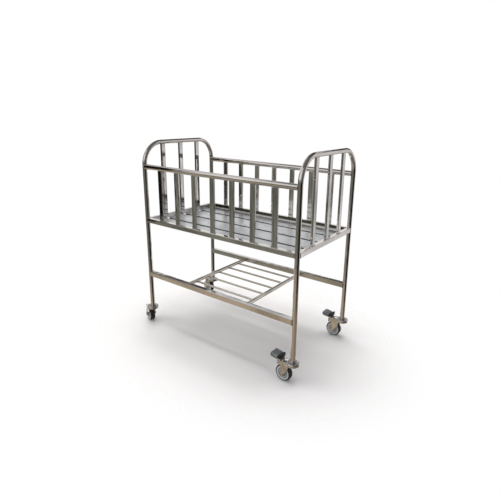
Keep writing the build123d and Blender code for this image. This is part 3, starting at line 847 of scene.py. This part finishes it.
def on_axle(profile, count=64, centre=(trail, axle_z)):
    """Profile of (radius, distance across) turned about the axle, or about another centre."""
    a = angles(count)
    r, w = profile[:, :1], profile[:, 1:]
    return np.stack([centre[0] + r * np.cos(a), w + 0 * a, centre[1] + r * np.sin(a)], -1)


def plate(outline, low, high, edge=0.4 * mm):
    """Pressed plate: an outline of (reach, height) carried across from low to high.

    Close to both faces the outline is drawn in by edge along its normals, which rounds the rim.
    """
    area = np.sum(outline[:, 0] * np.roll(outline[:, 1], -1) - outline[:, 1] * np.roll(outline[:, 0], -1))
    outline = outline if area > 0 else outline[::-1]
    ahead = np.roll(outline, -1, 0) - np.roll(outline, 1, 0)
    outward = np.stack([ahead[:, 1], -ahead[:, 0]], -1) / np.linalg.norm(ahead, axis=1)[:, None]
    insets = np.array([edge, 0.3 * edge, 0, 0, 0.3 * edge, edge])
    across = np.array([low, low + 0.3 * edge, low + edge, high - edge, high - 0.3 * edge, high])
    grid = outline[None] - insets[:, None, None] * outward[None]
    return np.stack([grid[..., 0], across[:, None] + 0 * grid[..., 0], grid[..., 1]], -1)


def round_hull(centres, radii, count=96):
    """Outline of a cord pulled tight round some discs.

    For each direction n the disc that reaches furthest, by centre . n + radius, gives the point
    centre + radius n.
    """
    a = angles(count)
    n = np.stack([np.cos(a), np.sin(a)], -1)
    centres, radii = np.asarray(centres, float), np.asarray(radii, float)
    furthest = np.argmax(n @ centres.T + radii, axis=1)
    return centres[furthest] + radii[furthest][:, None] * n


# %% [markdown]
# ### Stem and swivel race
# The stem plugs into the leg and shows only its flange, as wide as the leg's foot, and the riveted
# end of its spindle inside the hood. Under the flange lies the race, a ring with a dark seam where
# its two pressed halves meet. Both are turned profiles.

# %% Profiles of stem and race
stem_profile = soften(mm * np.array([
    (0.5, 89.7), (7.6, 89.7), (8.5, 90.8), (8.5, 93.7), (6.0, 93.7), (6.0, 103.0), (12.5, 103.0),
    (12.5, 106.0), (9.7, 106.0), (9.7, 130.0), (0.5, 130.0)]), 0.5 * mm, 4)[2:-2]
race_profile = soften(mm * np.array([
    (6.1, 98.0), (17.0, 98.0), (17.0, 100.0), (16.3, 100.2), (16.3, 100.5), (17.0, 100.7),
    (17.0, 102.7), (6.1, 102.7)]), mm * np.array([0.3, 0.5, 0.15, 0.1, 0.1, 0.15, 1.3, 0.3]), 4)

# %% [markdown]
# ### Fork
# The fork is one pressing: a round hood with a dished top that holds the race, and two legs that
# run back and down to the axle, with a short web between them. The hood is turned and the legs are
# plates. On the braked casters the legs grow two ears for the pedal's pin.

# %% Profiles and outlines of the fork
hood_corners = mm * np.array([
    (6.1, 98.0), (18.0, 98.0), (20.0, 101.0), (29.0, 101.0), (29.0, 88.0), (26.5, 88.0),
    (26.5, 94.0), (6.1, 94.0)])
hood_profile = soften(hood_corners, mm * np.array([0.3, 1.0, 1.2, 7.0, 0.9, 0.9, 2.5, 0.3]), 9)
fork_inner, fork_outer = 15.5 * mm, 18.0 * mm
eye_angles = np.linspace(np.pi, 2 * np.pi, 15)
eye = np.stack([trail + 11 * mm * np.cos(eye_angles), axle_z + 11 * mm * np.sin(eye_angles)], -1)
ear_angles = np.radians(np.linspace(-75, 175, 18))
pin_at = mm * np.array([60.0, 92.0])
ear = pin_at + 8 * mm * np.stack([np.cos(ear_angles), np.sin(ear_angles)], -1)


def leg_outline(has_ear):
    """Front edge down to the eye round the axle, up the waist, round heel or ear, and the top."""
    front = mm * np.array([(21.0, 101.0), (13.0, 66.0)])
    waist = mm * np.array([(48.0, 66.0)])
    heel = ear if has_ear else mm * np.array([(60.0, 88.0)])
    corners = np.concatenate([front, eye, waist, heel])
    heel_cut = 0.6 if has_ear else 2.5
    cuts = mm * np.concatenate([[2.0, 7.0], np.full(len(eye), 0.6), [9.0], np.full(len(heel), heel_cut)])
    return soften(corners, cuts, 5)


def fork_skins(has_ear):
    """Hood, two legs and the web of a fork, in the caster's own measures."""
    leg = leg_outline(has_ear)
    web = soften(mm * np.array([(21.0, 101.0), (46.0, 92.67), (46.0, 90.17), (21.0, 98.5)]), 0.4 * mm)
    return [(turned(hood_profile, 72), True), (plate(leg, fork_inner, fork_outer), False),
            (plate(leg, -fork_outer, -fork_inner), False), (plate(web, -fork_inner, fork_inner), False)]


# %% [markdown]
# ### Wheel
# The tyre is a band of rubber with rounded shoulders and two fine grooves. The core is moulded
# plastic with a raised rim, and thin covers close the recess on either side of it, to keep thread
# out of the bearing. All three are profiles turned about the axle, and their rings are what the
# photograph shows as pale circles.

# %% Profiles of the wheel
def both_halves(half):
    """Half a profile, and its mirror image on the other side of the wheel, walked back."""
    return np.concatenate([half, (half * (1, -1))[::-1]])


w = np.linspace(-1, 1, 49)
crown = 31.5 + 6.0 * (1 - np.abs(w) ** 2.8) ** (1 / 2.8)
groove = 0.45 * np.exp(-((np.abs(12.5 * w) - 4.6) / 0.45) ** 2)
tyre_profile = mm * np.concatenate([np.stack([crown - groove, 12.5 * w], -1), [(31.0, 12.3), (31.0, -12.3)]])
half_core = np.array([
    (5.1, 15.2), (10.0, 15.2), (10.0, 6.0), (21.5, 6.0), (21.5, 9.0), (24.0, 9.0), (24.0, 11.5),
    (26.6, 11.5), (27.0, 11.0), (27.8, 11.0), (28.2, 11.5), (31.0, 11.5)])
core_profile = mm * soften(both_halves(half_core), 0.45, 4)
guard_corners = np.array([
    (10.5, 9.0), (23.95, 9.0), (23.95, 10.5), (21.6, 10.5), (21.2, 10.0), (19.4, 10.0), (19.0, 10.5),
    (17.4, 10.5), (17.0, 10.0), (12.6, 10.0), (12.2, 10.5), (10.5, 10.5)])
guard_profile = mm * soften(guard_corners, 0.35, 4)
ring_corners = np.array([(16.6, 10.2), (19.8, 10.2), (19.8, 10.9), (19.2, 11.2), (17.2, 11.2), (16.6, 10.9)])
ring_profile = mm * soften(ring_corners, 0.3, 4)


# %% [markdown]
# ### Axle bolt, nut and pedal pin
# A hexagon's radius at an angle a is its half width over cos(a - the nearest flat). The turned
# chamfer cuts that where a cone is narrower, which leaves the curved edges of a real bolt head.

# %% Hexagons and pins
def hexagon(start, end, chamfer_start=True, flats=16 * mm, count=96):
    """Hexagon about the axle from one distance across to another: min(hexagon, cone)."""
    a = angles(count)
    hexagonal = flats / 2 / np.cos((a + np.pi / 6) % (np.pi / 3) - np.pi / 6)
    f = np.array([0.0, 0.02, 0.05, 0.09, 0.14, 0.5, 0.86, 0.91, 0.95, 0.98, 1.0])
    span_across = abs(end - start)
    from_start = np.where(chamfer_start, f * span_across, 1.0)
    from_end = (1 - f) * span_across
    cone = 0.475 * flats + 1.7 * np.minimum(from_start, from_end)
    r = np.minimum(hexagonal[None], cone[:, None])
    across = start + f * (end - start)
    return np.stack([trail + r * np.cos(a), across[:, None] + 0 * r, axle_z + r * np.sin(a)], -1)


thread_turns = 6
s = np.linspace(0, 1, thread_turns * 6 + 1)
thread_radius = 4.75 + 0.25 * np.cos(2 * np.pi * thread_turns * s)
thread_across = -26.0 + 12.0 * s
thread = np.stack([thread_radius, thread_across], -1)[1:]
bolt_tip, shank = [(0.4, -28.0), (3.9, -28.0), (4.9, -27.0)], [(4.9, 18.0), (0.4, 18.0)]
thread_profile = mm * np.concatenate([bolt_tip, thread, shank])
pin_profile = np.array([(0.3, 19.5), (2.2, 19.4), (3.3, 19.1), (3.9, 18.6), (4.0, 18.0), (2.5, 17.9)])
pin_profile = mm * both_halves(pin_profile)

# %% [markdown]
# ### Brake pedal and release pad
# The pedal is a pressed tray with rounded corners and four grip ribs, which slopes up towards its
# tip. It turns on the pin, and its rocker carries the shoe that presses on the tyre. Behind it
# sits a rubber pad that lifts the brake off again. The tray is a stack of rounded rectangles: up
# the inside of the skirt, round its lip, up the outside and over the top edge.

# %% Build the tray
foot_start, foot_tip, foot_width = mm * np.array([65.5, 101.0, 48.0])
foot_start_top, foot_rise = 114 * mm, 5 * mm
rocker_half, pad_half, pad_rim = 14.5 * mm, 20 * mm, 1.2 * mm


def foot_top(reach):
    """Height of the sloping top, which rises evenly from the start to the tip."""
    return foot_start_top + foot_rise * (reach - foot_start) / (foot_tip - foot_start)


def foot_tray():
    """Rings from the underside, down the inside, round the lip, up the outside, to the top."""
    inset = mm * np.array([2.9, 2.5, 2.5, 2.1, 1.4, 0.5, 0.1, 0.0, 0.0, 0.15, 0.6, 1.3, 2.2, 3.2])
    drop = mm * np.array([2.5, 2.9, 13.4, 13.9, 14.0, 13.9, 13.5, 12.6, 2.6, 1.6, 0.75, 0.28, 0.06, 0.0])
    sizes = [(foot_tip - foot_start - 2 * i, foot_width - 2 * i, max(5.0 * mm - i, 0.8 * mm)) for i in inset]
    rings = np.stack([rounded_rectangle(*size, 6) for size in sizes])
    reach = (foot_start + foot_tip) / 2 + rings[..., 0]
    return np.stack([reach, rings[..., 1], foot_top(reach) - drop[:, None]], -1)


def grip_rib(reach):
    """Round rib across the tray, whose radius falls to nothing at its two ends."""
    y = np.linspace(-18.5, 18.5, 21) * mm
    line = np.stack([np.full(21, reach), y, np.full(21, foot_top(reach) + 0.05 * mm)], -1)
    taper = np.sqrt(np.maximum(0.02, 1 - (y / (19 * mm)) ** 8))
    return carry(circle(0.95 * mm, 16), line, (0, 0, 1), scale=taper)


shoe_at = mm * np.array([67.44, 72.63])
rocker_discs = [pin_at, shoe_at, (foot_start, 0.101), (0.055, 0.101)]
rocker = round_hull(rocker_discs, mm * np.array([7.0, 2.0, 2.0, 2.0]))
tongue = soften(mm * np.array([(50.0, 101.0), (68.0, 101.0), (68.0, 103.5), (50.0, 103.5)]), 0.8 * mm)
s = np.linspace(0.08, 0.92, 61)
ridges = 0.45 * np.cos(2 * np.pi * 5 * s) ** 2 * mm
pad_top = np.array([65.5, 113.0]) * mm + s[:, None] * mm * np.array([-15.5, 7.0])
pad_top = pad_top + (ridges - 0.5 * mm)[:, None] * np.array([0.41, 0.91])
pad_foot = mm * np.array([(50.3, 103.8), (50.6, 103.5), (65.2, 103.5), (65.4, 103.8), (65.4, 112.2)])
pad_back = mm * np.array([(50.5, 118.6), (50.15, 117.6)])
pad_outline = np.concatenate([pad_foot, pad_top, pad_back])
pedal_grids = [foot_tray()] + [grip_rib(reach) for reach in mm * np.array([70.5, 79.0, 87.5, 96.0])]
pedal_grids += [plate(rocker, -rocker_half, rocker_half), plate(tongue, -pad_half, pad_half)]

# %% [markdown]
# ## Caster finishes
# The forks are chrome plated, the bolts and stems zinc plated and a little duller. The tyre is
# black rubber with a film of dust, the core and covers are moulded plastic, and the pedal has a
# worn blue-grey paint. Dust and wear are noise in each piece's own space, so they move with it.

# %% Make the caster finishes
def coating(name, colour, worn, dull, bumps, metal=0.0):
    """Rubber, plastic or paint: two colours mixed by noise, and a fine grain in the surface."""
    made, tree, shader = principled(name, metal)
    at = add_node(tree, "ShaderNodeTexCoord").outputs["Object"]
    cloud, grain = noise(tree, at, 45.0, 6.0), noise(tree, at, 220.0, 3.0)
    mottle = blend_colours(tree, ramp(tree, cloud, 0.55, 0.75), (*colour, 1), (*worn, 1))
    tree.links.new(mottle, shader.inputs["Base Color"])
    tree.links.new(ramp(tree, grain, 0.3, 0.7, dull - 0.06, dull + 0.08), shader.inputs["Roughness"])
    tree.links.new(bumped(tree, grain, bumps), shader.inputs["Normal"])
    return made


caster_chrome = steel("caster_chrome", (0.70, 0.68, 0.67), 0.10, lines=0.0, waves=0.0022)
caster_steel = steel("caster_steel", (0.60, 0.58, 0.55), 0.20, patch=0.12, lines=0.03)
tyre_rubber = coating("tyre_rubber", (0.022, 0.022, 0.024), (0.06, 0.058, 0.055), 0.55, 0.00012)
hub_plastic = coating("hub_plastic", (0.60, 0.64, 0.66), (0.46, 0.48, 0.48), 0.38, 0.00005)
guard_plastic = coating("guard_plastic", (0.19, 0.20, 0.20), (0.12, 0.12, 0.12), 0.42, 0.00005)
pedal_metal = coating("pedal_metal", (0.20, 0.225, 0.24), (0.42, 0.41, 0.39), 0.34, 0.00006, metal=0.35)
release_rubber = coating("release_rubber", (0.014, 0.014, 0.016), (0.035, 0.035, 0.036), 0.50, 0.00010)

# %% List the parts of a caster
def on_both_sides(profile):
    """A part turned about the axle, and its twin on the wheel's other side."""
    return [(on_axle(profile * (1, side)), True) for side in (1, -1)]


def caster_parts(has_brake):
    """The parts of a caster, in its own measures.

    Each has a name, grids that may close in a ring, a finish, the body that it rides on and the
    CAD node that it replaces.
    """
    bolt = [(hexagon(18 * mm, 24 * mm, chamfer_start=False), False), (on_axle(thread_profile, 32), False)]
    parts = [
        ("collar", [(turned(stem_profile), False)], caster_steel, "frame", "stem"),
        ("race_ring", [(turned(race_profile), True)], caster_steel, "swivel", "swivel_race"),
        ("pressed_fork", fork_skins(has_brake), caster_chrome, "swivel", "fork"),
        ("tread", [(on_axle(tyre_profile, 96), True)], tyre_rubber, "wheel", "tyre"),
        ("wheel_core", [(on_axle(core_profile), True)], hub_plastic, "wheel", "wheel_hub"),
        ("cover_rings", on_both_sides(ring_profile), hub_plastic, "wheel", None),
        ("covers", on_both_sides(guard_profile), guard_plastic, "wheel", "thread_guards"),
        ("bolt", bolt, caster_steel, "swivel", "axle_bolt"),
        ("nut", [(hexagon(-18 * mm, -26 * mm), False)], caster_steel, "swivel", "axle_nut"),
    ]
    if has_brake:
        pedal = [(grid, False) for grid in pedal_grids]
        pad = [(plate(pad_outline, -pad_half, pad_half, pad_rim), False)]
        parts += [
            ("pin", [(on_axle(pin_profile, 32, pin_at), False)], caster_steel, "swivel", "pedal_pin"),
            ("foot_pedal", pedal, pedal_metal, "pedal", "brake_pedal"),
            ("pad", pad, release_rubber, "pedal", "release_pad"),
        ]
    return parts


# %% Set the parts of each caster in place
for place in places:
    for name, grids, finish, body, node in caster_parts(place in braked):
        skins = [skin(set_in(place, grid), ring=ring) for grid, ring in grids]
        body = body if body == "frame" else place + "_" + body
        replaced = [place + "_" + node] if node else []
        make_piece(place + "_" + name, skins, finish, replaced, body)
shown = [name for name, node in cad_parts.items() if not node.hide_render]
print("CAD nodes still shown:", shown)
